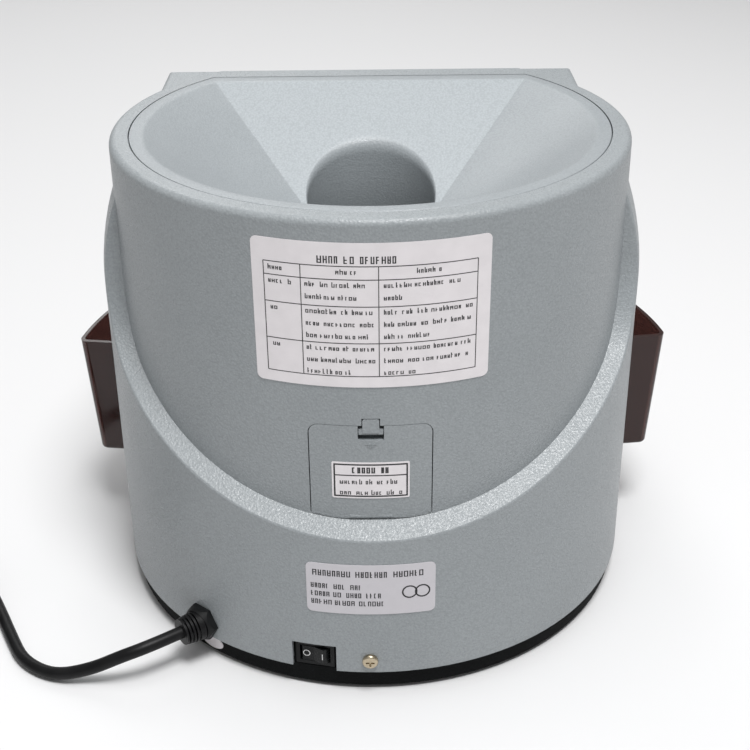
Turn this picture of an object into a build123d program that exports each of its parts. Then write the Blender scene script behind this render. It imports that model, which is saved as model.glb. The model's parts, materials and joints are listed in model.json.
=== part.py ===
"""Electronic coin sorter: a drum-shaped bench machine with a D-shaped hopper on top, a sorting
disc and rail inside, and eight coin cups standing in a bay round the front.

Frame: +Z up, millimetres. The front (keys, cups) faces -Y and the rear (labels, access door,
switch, mains lead) faces +Y. The parts are drawn round the drum's own axis, and write() moves
them so that the origin is on the floor under the centre of the machine's box.
Azimuths are degrees from the rear (+Y) towards +X. Bay angles are degrees from +X towards -Y.
"""

import math
import os

from build123d import *

os.makedirs("parts", exist_ok=True)

# ---- case ---------------------------------------------------------------------------------
TOTAL_H = 266.0
DRUM_R_TOP = 138.8
DRUM_R_LOW = 139.6
RIM_ROUND = 3.6
WALL = 2.8
TOP_WALL = 5.5
CASE_Z0 = 13.5
REBATE = 0.8             # step round the case's lower edge, where the base fits in

SKIRT_R = 149.5
SKIRT_R_HIGH = 148.7
SKIRT_LEAN_Z = 186.0     # the skirt starts to curve in here
SKIRT_CURVE_R = 146.0    # radius of that curve, which runs into the drum
SKIRT_TOP_Z = 249.0

SWEEP_REAR_Z = 97.5      # height of the swept step at the rear, on the skirt's surface
SWEEP_SLOPE = 0.66       # its rise per millimetre towards the front
SWEEP_SIDE_Y = 38.0      # it turns upright here
SWEEP_ARC_R = 60.0
STEP_ROUND = 1.2

FRONT_HALF_W = 122.0
FRONT_TOP_Y = -102.0     # straight front edge of the top
PANEL_LOW_Y, PANEL_LOW_Z = -152.0, 186.0
PANEL_SLOPE = (TOTAL_H - PANEL_LOW_Z) / (FRONT_TOP_Y - PANEL_LOW_Y)
FRONT_BULGE_R = 420.0    # plan radius of the front face
FRONT_FACE_Y = -156.0
FRONT_CORNER_R = 9.0
CEILING_Z = 130.0        # underside of the case over the cups
CEILING_T = 2.8

# ---- cup bay and cups ---------------------------------------------------------------------
BAY_R = 112.0
BAY_FLOOR_Z = 46.6
BAY_END_DEG = 5.3
CUP_COUNT = 8
CUP_END_DEG = 6.2
CUP_GAP_DEG = 0.7
CUP_R_OUT = 178.0
CUP_R_IN = 114.6
CUP_Z0, CUP_Z1 = 48.6, 125.2
CUP_WALL = 2.2
CUP_DRAFT = 4.6          # the outer wall leans out by this much over its height

# ---- hopper -------------------------------------------------------------------------------
HOPPER_FLANGE_R, HOPPER_FLANGE_Y = 128.2, -88.6
HOPPER_GAP = 0.6
HOPPER_FLANGE_T = 2.9
HOPPER_SEAT_R, HOPPER_SEAT_Y = 124.6, -84.5
BOWL_R, BOWL_Y = 121.0, -79.5
BOWL_SLOPE = 0.516       # fall of the flat front slope towards the rear
THROAT_R, THROAT_LOW_Z = 35.0, 181.0
MOUTH_CORNER_DEG = 30.4  # where the creases from the front corners reach the throat
MOUTH_LIP = [(38.6, -0.02), (36.2, 1.0), (34.95, 3.6)]     # radii and depths of its rounded lip
HOPPER_T = 2.4

# ---- access door, labels, switch and lead at the rear --------------------------------------
DOOR_X0, DOOR_X1 = -28.8, 31.6
DOOR_Z1 = 159.4
DOOR_ROUND = 5.0
DOOR_GAP, DOOR_TOP_GAP = 0.5, 0.25
DOOR_T = 2.6
DOOR_HINGE_Y, DOOR_HINGE_Z = 138.3, 106.8
HINGE_X0, HINGE_X1 = -9.0, 12.0
POCKET_X0, POCKET_X1, POCKET_Z0 = -5.2, 7.6, 151.4
TAB_X0, TAB_X1, TAB_Z1 = -2.9, 5.3, 163.2
TAB_GAP = 0.4
LABEL_T = 0.3
ERROR_LABEL_W, ERROR_LABEL_Z0, ERROR_LABEL_Z1 = 111.0, 181.0, 255.0
DOOR_LABEL_X0, DOOR_LABEL_X1, DOOR_LABEL_Z0, DOOR_LABEL_Z1 = -17.8, 20.8, 117.8, 138.8
RATING_X0, RATING_X1, RATING_Z0, RATING_Z1 = -31.0, 35.2, 52.5, 83.5
SEAL_AZ, SEAL_HALF_W, SEAL_HALF_H = 37.9, 8.0, 4.2
SWITCH_AZ, SWITCH_Z = 12.6, 21.6
SWITCH_CUT_W, SWITCH_CUT_Z1 = 24.0, 29.8
SWITCH_FACE_R = 146.6
ROCKER_L, ROCKER_H, ROCKER_PIVOT, ROCKER_TILT = 15.6, 9.4, 3.4, 10.0
GLAND_AZ, GLAND_Z = 39.0, 22.5
SCREW_AZ, SCREW_Z = 1.1, 21.5
CORD_R = 3.5
GLAND_HOLE_R, GLAND_ACROSS, GLAND_T, LOCKNUT_ACROSS = 7.0, 19.0, 5.5, 17.0
RELIEF_L, RELIEF_R0, RELIEF_R1, RELIEF_RIBS, RELIEF_AZ = 9.6, 8.4, 7.2, 4, 54.0

# ---- control panel ------------------------------------------------------------------------
PANEL_W, PANEL_H, PANEL_DOWN, PANEL_RECESS = 150.0, 62.0, 42.0, 1.2
WINDOW_W, WINDOW_H, WINDOW_DOWN = 78.0, 26.0, 29.0
KEY_R, KEY_PITCH, KEY_DOWN = 5.6, 21.0, 59.0
KEY_COUNT = 5

# ---- sorting works ------------------------------------------------------------------------
DECK_Z0, DECK_Z1 = 154.0, 156.0
DECK_R = 134.0
RAIL_R_IN, RAIL_R_OUT = 101.0, 117.0
DISC_Z0, DISC_Z1 = 156.8, 160.8
DISC_R = 100.0
SHAFT_R = 4.0
BEARING_R = 11.0
PULLEY_Z0, PULLEY_Z1 = 100.0, 112.0
DRIVE_R, MOTOR_PULLEY_R = 44.0, 11.0
MOTOR_X, MOTOR_Y = -78.0, 42.0
MOTOR_R = 24.0
BELT_T = 1.6

OUTLET_R0, OUTLET_R1, OUTLET_HALF_DEG = 118.0, 136.0, 7.6
SLOT_R0, SLOT_R1, SLOT_HALF_DEG = 104.0, 115.5, 7.0

CARRIER_FINS = 24

# ---- base ---------------------------------------------------------------------------------
BASE_R = 147.0
BASE_Z0, BASE_FLOOR_Z = 2.6, 5.6
FOOT_R, FOOT_PCD_R = 11.0, 118.0
PILLAR_SPOTS = [(97.0, 70.0), (-104.0, 74.0), (58.0, -58.0), (-58.0, -58.0)]
SCREW_AZS = [SCREW_AZ, 125.0, 235.0]
BOARD_X, BOARD_Y, BOARD_Z = -62.0, 20.0, 12.0
TRANSFORMER_X, TRANSFORMER_Y = 68.0, 10.0

# ---- mains lead: route after the strain relief, coil and tail ------------------------------
COIL_CENTRE = (268.0, 74.0)
COIL_R_IN, COIL_R_OUT, COIL_H = 30.0, 44.0, 21.0
CORD_ROUTE = [
    (121.0, 137.4, 22.5),
    (136.5, 141.0, 18.5),
    (153.0, 140.0, 9.5),
    (174.5, 138.5, 3.6),
    (193.5, 126.5, 3.6),
    (204.5, 106.5, 3.6),
    (214.5, 87.0, 3.6),
    (224.0, 69.5, 3.6),
    (232.9, 53.8, 3.6),
]
TAIL_ROUTE = [(308.5, 74.0, 17.5), (309.0, 86.0, 18.4), (309.0, 101.0, 18.4)]
PLUG_R, PLUG_L, PLUG_NECK_L, PIN_L = 18.4, 34.0, 16.0, 19.0

SCREW_HEAD_H, SCREW_HEAD_R = 2.2, 4.2
AXIS_Y = (CUP_R_OUT - SKIRT_R - SCREW_HEAD_H) / 2    # centres the machine's box on the origin


def polar(radius, azimuth_deg):
    """Point at a radius and an azimuth from the rear."""
    a = math.radians(azimuth_deg)
    return radius * math.sin(a), radius * math.cos(a)


def bay_point(radius, bay_deg):
    """Point at a radius and a bay angle, counted from +X towards the front."""
    a = math.radians(bay_deg)
    return radius * math.cos(a), -radius * math.sin(a)


def rod(radius, z0, z1, x=0.0, y=0.0):
    """Upright cylinder."""
    return Pos(x, y, (z0 + z1) / 2) * Cylinder(radius, z1 - z0)


def tube(r_out, r_in, z0, z1, x=0.0, y=0.0):
    """Upright hollow cylinder."""
    return rod(r_out, z0, z1, x, y) - rod(r_in, z0 - 1, z1 + 1, x, y)


def block(x0, x1, y0, y1, z0, z1):
    """Box between two corners."""
    return Pos((x0 + x1) / 2, (y0 + y1) / 2, (z0 + z1) / 2) * Box(x1 - x0, y1 - y0, z1 - z0)


def revolved(points):
    """Solid of revolution about the drum's axis from (radius, z) points."""
    with BuildPart() as made:
        with BuildSketch(Plane.XZ):
            with BuildLine():
                Polyline(*points, close=True)
            make_face()
        revolve(axis=Axis.Z)
    return made.part


def bay_sector(r_in, r_out, deg0, deg1, z0, z1):
    """Ring sector between two bay angles."""
    mid = (deg0 + deg1) / 2
    with BuildPart() as made:
        with BuildSketch(Plane.XY.offset(z0)):
            with BuildLine():
                ThreePointArc(bay_point(r_out, deg0), bay_point(r_out, mid), bay_point(r_out, deg1))
                Line(bay_point(r_out, deg1), bay_point(r_in, deg1))
                ThreePointArc(bay_point(r_in, deg1), bay_point(r_in, mid), bay_point(r_in, deg0))
                Line(bay_point(r_in, deg0), bay_point(r_out, deg0))
            make_face()
        extrude(amount=z1 - z0)
    return made.part


def d_outline(radius, front_y, z):
    """D-shaped outline: a circle cut off by a straight front edge."""
    x = math.sqrt(radius**2 - front_y**2)
    with BuildSketch(Plane.XY.offset(z)) as made:
        with BuildLine():
            ThreePointArc((x, front_y), (0, radius), (-x, front_y))
            Line((-x, front_y), (x, front_y))
        make_face()
    return made.sketch


def mouth_outline(radius, front_y, z):
    """Round mouth of the throat, on the front slope that leaves the edge at front_y and z."""
    slope = Plane(origin=(0, front_y, z), x_dir=(1, 0, 0), z_dir=(0, BOWL_SLOPE, 1))
    stretch = math.hypot(1, BOWL_SLOPE)
    centre = (0, -front_y * stretch)
    corner, rear = MOUTH_CORNER_DEG, 180 - 2 * MOUTH_CORNER_DEG
    with BuildSketch(slope) as made:
        with BuildLine():
            EllipticalCenterArc(centre, radius, radius * stretch, corner, arc_size=rear)
            EllipticalCenterArc(centre, radius, radius * stretch, 180 - corner, arc_size=360 - rear)
        make_face()
    return made.sketch


def d_plate(radius, front_y, z0, z1):
    """D-shaped plate."""
    return extrude(d_outline(radius, front_y, z0), amount=z1 - z0)


def facing(azimuth_deg, radius, z):
    """Plane standing on a drum of that radius: its normal points out, its Y axis up."""
    out = Vector(*polar(1.0, azimuth_deg), 0)
    return Plane(origin=(*polar(radius, azimuth_deg), z), x_dir=Vector(0, 0, 1).cross(out), z_dir=out)


def drum(inset=0.0):
    """Upper drum with its rounded rim."""
    low, top = DRUM_R_LOW - inset, DRUM_R_TOP - inset
    with BuildPart() as made:
        with BuildSketch(Plane.XZ):
            with BuildLine():
                Polyline((0, CASE_Z0), (low, CASE_Z0), (low, 100), (top, TOTAL_H - RIM_ROUND))
                RadiusArc((top, TOTAL_H - RIM_ROUND), (top - RIM_ROUND, TOTAL_H), -RIM_ROUND)
                Polyline((top - RIM_ROUND, TOTAL_H), (0, TOTAL_H), (0, CASE_Z0))
            make_face()
        revolve(axis=Axis.Z)
    return made.part


def sweep_cut(inset=0.0):
    """What the swept step takes off the skirt: a side view drawn out across the machine."""
    far = SKIRT_R + 30
    corner_z = SWEEP_REAR_Z + SWEEP_SLOPE * (SKIRT_R - SWEEP_SIDE_Y)
    far_z = SWEEP_REAR_Z + SWEEP_SLOPE * (SKIRT_R - far)
    with BuildPart() as made:
        with BuildSketch(Plane.YZ):
            with BuildLine():
                FilletPolyline((far, far_z), (SWEEP_SIDE_Y, corner_z), (SWEEP_SIDE_Y, TOTAL_H + 40),
                               radius=SWEEP_ARC_R)
                Polyline((SWEEP_SIDE_Y, TOTAL_H + 40), (far, TOTAL_H + 40), (far, far_z))
            make_face()
            if inset:
                offset(amount=inset, kind=Kind.INTERSECTION)
        extrude(amount=SKIRT_R + 20, both=True)
    return made.part


def skirt(inset=0.0):
    """Proud lower shell: nearly upright, curving in to the drum at its top, stepped at the rear."""
    low, high = SKIRT_R - inset, SKIRT_R_HIGH - inset

    def curve(z):
        return high - SKIRT_CURVE_R + math.sqrt(SKIRT_CURVE_R**2 - (z - SKIRT_LEAN_Z)**2), z

    mid_z = (SKIRT_LEAN_Z + SKIRT_TOP_Z) / 2
    with BuildPart() as made:
        with BuildSketch(Plane.XZ):
            with BuildLine():
                Polyline((0, CASE_Z0), (low, CASE_Z0), (high, SKIRT_LEAN_Z))
                ThreePointArc((high, SKIRT_LEAN_Z), curve(mid_z), curve(SKIRT_TOP_Z))
                Polyline(curve(SKIRT_TOP_Z), (0, SKIRT_TOP_Z), (0, CASE_Z0))
            make_face()
        revolve(axis=Axis.Z)
    solid = made.part - sweep_cut(inset)
    if inset:
        return solid
    boxes = [(e, e.bounding_box()) for e in solid.edges()]
    return fillet([e for e, box in boxes if box.size.Z > 3 and box.min.Y > 0.1], STEP_ROUND)


def round_body(inset=0.0):
    """Drum and skirt, cut off in front along the slope of the control panel."""
    ahead_y = FRONT_FACE_Y - 40
    ahead_z = PANEL_LOW_Z - (PANEL_LOW_Y - ahead_y) * PANEL_SLOPE
    with BuildPart() as ahead:
        with BuildSketch(Plane.YZ):
            with BuildLine():
                Polyline((ahead_y, ahead_z), (FRONT_TOP_Y + 20, TOTAL_H + 20 * PANEL_SLOPE),
                         (ahead_y, TOTAL_H + 20 * PANEL_SLOPE), close=True)
            make_face()
            if inset:
                offset(amount=inset, kind=Kind.INTERSECTION)
        extrude(amount=200, both=True)
    return drum(inset) + skirt(inset) - ahead.part


def front_block(inset=0.0):
    """Block under the straight front edge: side walls, sloping control panel and bowed face."""
    bow_y = FRONT_FACE_Y + FRONT_BULGE_R
    ahead_y = FRONT_FACE_Y - 10
    ahead_z = PANEL_LOW_Z - (PANEL_LOW_Y - ahead_y) * PANEL_SLOPE
    side_view = [(0, CEILING_Z), (ahead_y, CEILING_Z), (ahead_y, ahead_z), (FRONT_TOP_Y, TOTAL_H),
                 (0, TOTAL_H)]
    with BuildPart() as made:
        with BuildSketch(Plane.YZ):
            with BuildLine():
                Polyline(*side_view, close=True)
            make_face()
            if inset:
                offset(amount=-inset, kind=Kind.INTERSECTION)
        extrude(amount=FRONT_HALF_W - inset, both=True)
    solid = made.part & rod(FRONT_BULGE_R - inset, CEILING_Z - 1, TOTAL_H + 1, 0, bow_y)
    if inset:
        return solid
    corners = [e for e in solid.edges() if abs(e.center().X) > FRONT_HALF_W - 1 and e.center().Y < FRONT_TOP_Y
               and e.center().Z < PANEL_LOW_Z + 10]
    solid = fillet([e for e in corners if e.bounding_box().size.Z > 40], FRONT_CORNER_R)
    rims = [e for e in solid.edges() if e.center().Z > TOTAL_H - 0.1 and e.center().Y < -1]
    return fillet(rims, RIM_ROUND)


def case_hollow():
    """Room inside the case, clear of the walls round the cup bay."""
    room = round_body(WALL) + front_block(WALL)
    room = room & block(-200, 200, -200, 200, CASE_Z0, TOTAL_H - TOP_WALL)
    room = room + rod(SKIRT_R - WALL + REBATE, CASE_Z0 - 1, CASE_Z0 + 4)
    bay_walls = bay_sector(BAY_R - WALL, 220, BAY_END_DEG - 1.2, 181.2 - BAY_END_DEG,
                           BAY_FLOOR_Z - WALL, CEILING_Z + CEILING_T)
    return room - bay_walls


def rear_window(x0, x1, z0, z1, corner=0.0):
    """Upright opening drawn out through the rear wall, with its two top corners rounded."""
    pane = block(x0, x1, 90, 180, z0, z1)
    if corner:
        tops = pane.edges().filter_by(Axis.Y).group_by(Axis.Z)[-1]
        pane = fillet(tops, corner)
    return pane


def panel_plane():
    """Plane on the sloping control panel: origin on its top edge, Y axis up the slope."""
    return Plane(origin=(0, FRONT_TOP_Y, TOTAL_H), x_dir=(1, 0, 0), z_dir=(0, -PANEL_SLOPE, 1))


def on_panel(shape, x, down, out=0.0):
    """Places a shape drawn on the XY plane on the panel: x across, a distance down the slope."""
    return panel_plane() * Pos(x, -down, out) * shape


def panel_box(width, height, z0, z1, corner=0.0):
    """Upright-edged box from z0 to z1, for use on the panel."""
    slab = Pos(0, 0, (z0 + z1) / 2) * Box(width, height, z1 - z0)
    if corner:
        slab = fillet(slab.edges().filter_by(Axis.Z), corner)
    return slab


# ---- case and hopper ----------------------------------------------------------------------
def case():
    """Grey housing: drum, swept skirt, front block, bay and every opening."""
    shell = round_body() + front_block()
    shell = shell - bay_sector(BAY_R, 220, BAY_END_DEG, 180 - BAY_END_DEG, BAY_FLOOR_Z, CEILING_Z)
    shell = shell - case_hollow()
    gap = HOPPER_GAP
    shell = shell - d_plate(HOPPER_FLANGE_R + gap, HOPPER_FLANGE_Y - gap, TOTAL_H - HOPPER_FLANGE_T,
                            TOTAL_H + 1)
    shell = shell - d_plate(HOPPER_SEAT_R, HOPPER_SEAT_Y, TOTAL_H - TOP_WALL - 1, TOTAL_H)
    door_hole = rear_window(DOOR_X0 - DOOR_GAP, DOOR_X1 + DOOR_GAP, 90, DOOR_Z1 + DOOR_TOP_GAP,
                            DOOR_ROUND + DOOR_GAP)
    shell = shell - (door_hole & sweep_cut())
    shell = shell - block(TAB_X0 - TAB_GAP, TAB_X1 + TAB_GAP, 100, 160, DOOR_Z1, TAB_Z1 + TAB_GAP)
    switch_hole = facing(SWITCH_AZ, SKIRT_R - 6, (CASE_Z0 + SWITCH_CUT_Z1) / 2) * Box(
        SWITCH_CUT_W, SWITCH_CUT_Z1 - CASE_Z0 + 0.02, 20)
    shell = shell - switch_hole
    shell = shell - facing(GLAND_AZ, SKIRT_R, GLAND_Z) * Cylinder(GLAND_HOLE_R, 16)
    for azimuth in SCREW_AZS:
        shell = shell - facing(azimuth, SKIRT_R, SCREW_Z) * Cylinder(2.0, 16)
    shell = shell - outlet_holes()
    shell = shell - on_panel(panel_box(PANEL_W, PANEL_H, -PANEL_RECESS, 5, 4), 0, PANEL_DOWN)
    shell = shell - on_panel(panel_box(WINDOW_W - 4, WINDOW_H - 4, -12, 5), 0, WINDOW_DOWN)
    for x, down in key_spots():
        shell = shell - on_panel(Cylinder(KEY_R + 1.2, 24), x, down)
    return shell


def outlet_holes():
    """Eight openings in the bay's ceiling, one over each cup."""
    holes = []
    for i in range(CUP_COUNT):
        mid = cup_angle(i)
        holes.append(bay_sector(OUTLET_R0, OUTLET_R1, mid - OUTLET_HALF_DEG, mid + OUTLET_HALF_DEG,
                                CEILING_Z - 1, CEILING_Z + CEILING_T + 1))
    return Compound(holes)


def bowl(grow, top_z):
    """Solid inside of the bowl: flat front slope, round flank and the two creases between."""
    radius, front_y = BOWL_R + grow, BOWL_Y - grow
    mouth = mouth_outline(MOUTH_LIP[0][0] + grow, front_y, top_z)
    return loft([d_outline(radius, front_y, top_z), mouth], ruled=True)


def hopper():
    """D-shaped hopper: flush flange, bowl creased to its two front corners, throat tube."""
    low = TOTAL_H - HOPPER_FLANGE_T
    body = d_plate(HOPPER_FLANGE_R, HOPPER_FLANGE_Y, low, TOTAL_H) + bowl(HOPPER_T, low)
    body = body + rod(THROAT_R + HOPPER_T, THROAT_LOW_Z, low - 10)
    body = body - bowl(0, TOTAL_H) - rod(THROAT_R, THROAT_LOW_Z - 1, TOTAL_H)
    rings = [mouth_outline(radius, BOWL_Y, TOTAL_H - depth) for radius, depth in MOUTH_LIP]
    for above, below in zip(rings, rings[1:]):
        body = body - loft([above, below], ruled=True)
    return body


# ---- cups ---------------------------------------------------------------------------------
def cup_angle(i):
    """Bay angle of the middle of cup i."""
    pitch = (180 - 2 * CUP_END_DEG) / CUP_COUNT
    return CUP_END_DEG + (i + 0.5) * pitch


def cup_half_deg():
    return (180 - 2 * CUP_END_DEG) / CUP_COUNT / 2 - CUP_GAP_DEG / 2


def cup_block(half_deg, inset, z0, z1):
    """Tapered wedge of a cup about the -Y direction; inset is taken off every side."""
    def outline(z):
        lean = CUP_DRAFT * (CUP_Z1 - z) / (CUP_Z1 - CUP_Z0)
        r_out, r_in = CUP_R_OUT - lean - inset, CUP_R_IN + inset + lean * 0.15
        side = math.degrees(inset / ((r_out + r_in) / 2)) + lean * 0.06
        a0, a1 = 90 - half_deg + side, 90 + half_deg - side
        with BuildSketch(Plane.XY.offset(z)) as made:
            with BuildLine():
                ThreePointArc(bay_point(r_out, a0), bay_point(r_out, 90), bay_point(r_out, a1))
                Line(bay_point(r_out, a1), bay_point(r_in, a1))
                ThreePointArc(bay_point(r_in, a1), bay_point(r_in, 90), bay_point(r_in, a0))
                Line(bay_point(r_in, a0), bay_point(r_out, a0))
            make_face()
        return made.sketch
    return loft([outline(z0), outline(z1)], ruled=True)


def coin_cup(i):
    """Smoked cup: four drafted walls, floor and a finger lip on the outer rim."""
    half = cup_half_deg()
    body = cup_block(half, 0, CUP_Z0, CUP_Z1)
    uprights = [e for e in body.edges() if e.bounding_box().size.Z > 50]
    body = fillet(uprights, 5.0)
    room = cup_block(half, CUP_WALL, CUP_Z0 + CUP_WALL, CUP_Z1 + 2)
    room_uprights = [e for e in room.edges() if e.bounding_box().size.Z > 50]
    room = fillet(room_uprights, 5.0 - CUP_WALL)
    body = body - room
    foot = body.faces().sort_by(Axis.Z)[0]
    body = fillet(foot.edges(), 2.6)
    return Rot(0, 0, 90 - cup_angle(i)) * body


# ---- door at the rear ---------------------------------------------------------------------
def hinge_rod(radius):
    """Round bar along the door's hinge line."""
    middle = (HINGE_X0 + HINGE_X1) / 2
    return Pos(middle, DOOR_HINGE_Y, DOOR_HINGE_Z) * Rot(0, 90, 0) * Cylinder(radius, HINGE_X1 - HINGE_X0)


def access_door():
    """Curved cover over the coin path: hinge barrel below, open at its top edge for the latch."""
    door = (drum() - drum(DOOR_T)) & rear_window(DOOR_X0, DOOR_X1, 90, DOOR_Z1, DOOR_ROUND)
    door = door & sweep_cut(-DOOR_GAP)
    swing = Pos(0, DOOR_HINGE_Y, DOOR_HINGE_Z) * Rot(0, 90, 0) * Cylinder(DOOR_T / 2 + 0.1, 90)
    low_edge = door & swing
    door = door - block(-45, 45, 100, 160, 90, DOOR_HINGE_Z) + low_edge + hinge_rod(DOOR_T / 2)
    door = door - block(POCKET_X0, POCKET_X1, 100, 160, POCKET_Z0, DOOR_Z1 + 1)
    back_y = DRUM_R_LOW - DOOR_T
    wall = block(POCKET_X0 - 3, POCKET_X1 + 3, back_y - 4.4, back_y + 0.3, POCKET_Z0 - 3, DOOR_Z1 - 1.6)
    wall = wall - block(POCKET_X0, POCKET_X1, back_y - 3.2, back_y + 3, POCKET_Z0 - 1, DOOR_Z1 + 1)
    return door + wall


def door_latch():
    """Sprung bar across the pocket with a finger tab that stands over the case's edge."""
    r = DRUM_R_LOW
    bar = block(POCKET_X0 + 0.4, POCKET_X1 - 0.4, r - 5.2, r - 0.9, POCKET_Z0 + 3.0, DOOR_Z1 - 1.8)
    tab = block(TAB_X0, TAB_X1, r - 3.2, r - 0.2, POCKET_Z0 + 4.4, TAB_Z1)
    tab = fillet(tab.edges().filter_by(Axis.Y).group_by(Axis.Z)[-1], 1.0)
    return bar + tab


# ---- labels -------------------------------------------------------------------------------
def drum_label(x0, x1, z0, z1, corner):
    """Thin curved label on the upper drum."""
    layer = drum(-LABEL_T) - drum()
    outline = fillet(block(x0, x1, 90, 180, z0, z1).edges().filter_by(Axis.Y), corner)
    return layer & outline


def error_label():
    reach = ERROR_LABEL_W / 2
    return drum_label(-reach, reach, ERROR_LABEL_Z0, ERROR_LABEL_Z1, 3.0)


def door_label():
    return drum_label(DOOR_LABEL_X0, DOOR_LABEL_X1, DOOR_LABEL_Z0, DOOR_LABEL_Z1, 0.8)


def rating_label():
    layer = skirt(-LABEL_T) - skirt()
    pane = block(RATING_X0, RATING_X1, 90, 180, RATING_Z0, RATING_Z1)
    return layer & fillet(pane.edges().filter_by(Axis.Y), 3.0)


def inspection_seal():
    """Small oval seal on the base band, under the gland."""
    layer = tube(BASE_R + LABEL_T, BASE_R, BASE_Z0, CASE_Z0)
    oval = facing(SEAL_AZ, BASE_R, (BASE_Z0 + CASE_Z0) / 2) * extrude(
        Ellipse(SEAL_HALF_W, SEAL_HALF_H), amount=3, both=True)
    return layer & oval


# ---- switch, gland and lead ---------------------------------------------------------------
def switch_body():
    """Black frame clipped into the base's upstand, with its contact block behind."""
    plane = facing(SWITCH_AZ, SWITCH_FACE_R, SWITCH_Z)
    frame = plane * Pos(0, 0, -0.4) * Box(21.0, 14.6, 2.0)
    back = plane * Pos(0, 0, -8.4) * Box(18.6, 12.4, 14.4)
    well = plane * Pos(0, 0, -3.0) * Box(ROCKER_L + 1.0, ROCKER_H + 0.8, 9.0)
    return frame + back - well


def switch_rocker():
    """Two-faced rocker on an upright pin line, its marked-off half pressed in."""
    plane = facing(SWITCH_AZ, SWITCH_FACE_R - ROCKER_PIVOT, SWITCH_Z)
    half = ROCKER_L / 2
    with BuildPart() as made:
        with BuildSketch(Plane.XZ):
            with BuildLine():
                Polyline((-half, 0), (half, 0), (half, ROCKER_PIVOT + 2.2), (0, ROCKER_PIVOT + 0.8),
                         (-half, ROCKER_PIVOT + 2.2), (-half, 0))
            make_face()
        extrude(amount=ROCKER_H / 2, both=True)
    bar = made.part & Rot(90, 0, 0) * Cylinder(half + 0.25, ROCKER_H + 2)
    bar = bar + Rot(90, 0, 0) * Cylinder(1.5, ROCKER_H)
    return plane * Rot(0, -ROCKER_TILT, 0) * bar


def relief_plane():
    """The sleeve leaves the nut's face turned a little sideways, as the lead pulls it."""
    origin = (*polar(SKIRT_R + GLAND_T, GLAND_AZ), GLAND_Z)
    out = Vector(*polar(1.0, RELIEF_AZ), 0)
    return Plane(origin=origin, x_dir=Vector(0, 0, 1).cross(out), z_dir=out)


def cable_gland():
    """Hexagonal gland against the skirt, its threaded neck through the wall, and its locknut."""
    plane = facing(GLAND_AZ, SKIRT_R, GLAND_Z)
    nut = plane * extrude(RegularPolygon(GLAND_ACROSS / 2, 6, major_radius=False), amount=GLAND_T)
    crown = plane * Pos(0, 0, GLAND_T / 2) * Cone(GLAND_ACROSS / 2 + 2.6, GLAND_ACROSS / 2 - 0.6, GLAND_T)
    neck = plane * Pos(0, 0, -8) * Cylinder(GLAND_HOLE_R - 0.2, 16)
    seat = relief_plane() * Cylinder(RELIEF_R0 + 0.05, 3.3)
    gland = (nut & crown) + neck - seat - plane * Pos(0, 0, -8) * Cylinder(CORD_R, 20)
    back = plane * Pos(0, 0, -WALL - 0.5)
    locknut = back * extrude(RegularPolygon(LOCKNUT_ACROSS / 2, 6, major_radius=False), amount=-4.5)
    locknut = locknut - plane * Cylinder(GLAND_HOLE_R - 0.2, 30)
    return Compound([gland, locknut])


def strain_relief():
    """Tapering sleeve moulded on the lead: thin core, round ribs and webs turned rib by rib."""
    plane = relief_plane()
    sleeve = plane * Pos(0, 0, RELIEF_L / 2) * Cone(RELIEF_R0 - 2.4, RELIEF_R1 - 2.2, RELIEF_L)
    sleeve = sleeve + plane * Cylinder(RELIEF_R0, 3.2)
    pitch = (RELIEF_L - 1.6) / RELIEF_RIBS
    for k in range(RELIEF_RIBS):
        rib_r = RELIEF_R0 + (RELIEF_R1 - RELIEF_R0) * (k + 0.5) / RELIEF_RIBS
        rib_z = 1.6 + (k + 0.72) * pitch
        web = Rot(0, 0, 90 * (k % 2)) * Box(2 * rib_r - 1.2, 3.4, pitch * 0.6)
        sleeve = sleeve + plane * Pos(0, 0, rib_z) * Cylinder(rib_r, pitch * 0.56)
        sleeve = sleeve + plane * Pos(0, 0, rib_z - pitch / 2) * web
    return sleeve


def relief_end():
    """Point where the lead leaves the sleeve."""
    end = relief_plane().from_local_coords(Vector(0, 0, RELIEF_L))
    return (end.X, end.Y, end.Z)


def lead_tube(points):
    """Straight runs joined by tangent arcs, as large as the runs allow."""
    spots = [Vector(*p) for p in points]
    radii = []
    for before, here, after in zip(spots, spots[1:], spots[2:]):
        turn = (here - before).get_angle(after - here)
        shorter = min((here - before).length, (after - here).length)
        radii.append(0.45 * shorter / math.tan(math.radians(turn) / 2))
    path = FilletPolyline(*spots, radius=radii)
    start = Plane(origin=path @ 0, z_dir=path % 0)
    return sweep(start * Circle(CORD_R), path=path)


def power_cord():
    return lead_tube([relief_end()] + CORD_ROUTE)


def cord_tail():
    return lead_tube(TAIL_ROUTE)


def cord_coil():
    """Outer shape of the coil that holds the rest of the lead."""
    x, y = COIL_CENTRE
    return tube(COIL_R_OUT, COIL_R_IN, 0.0, COIL_H, x, y)


def plug_plane():
    return Plane(origin=TAIL_ROUTE[-1], x_dir=(1, 0, 0), z_dir=(0, 1, 0))


def mains_plug():
    """Moulded round plug with a tapering neck, and its two round pins."""
    plane = plug_plane()
    neck = plane * Pos(0, 0, PLUG_NECK_L / 2) * Cone(CORD_R + 1.2, 9.0, PLUG_NECK_L)
    body = plane * Pos(0, 0, PLUG_NECK_L + PLUG_L / 2) * Cylinder(PLUG_R, PLUG_L)
    body = fillet(body.edges().filter_by(GeomType.CIRCLE).sort_by(Axis.Y)[0], 8.0)
    pieces = [neck + body]
    for side in (-1, 1):
        pin = Cylinder(2.4, PIN_L)
        pin = fillet(pin.edges().sort_by(Axis.Z)[-1], 1.6)
        pieces.append(plane * Pos(side * 9.5, 0, PLUG_NECK_L + PLUG_L + PIN_L / 2) * pin)
    return Compound(pieces)


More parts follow.
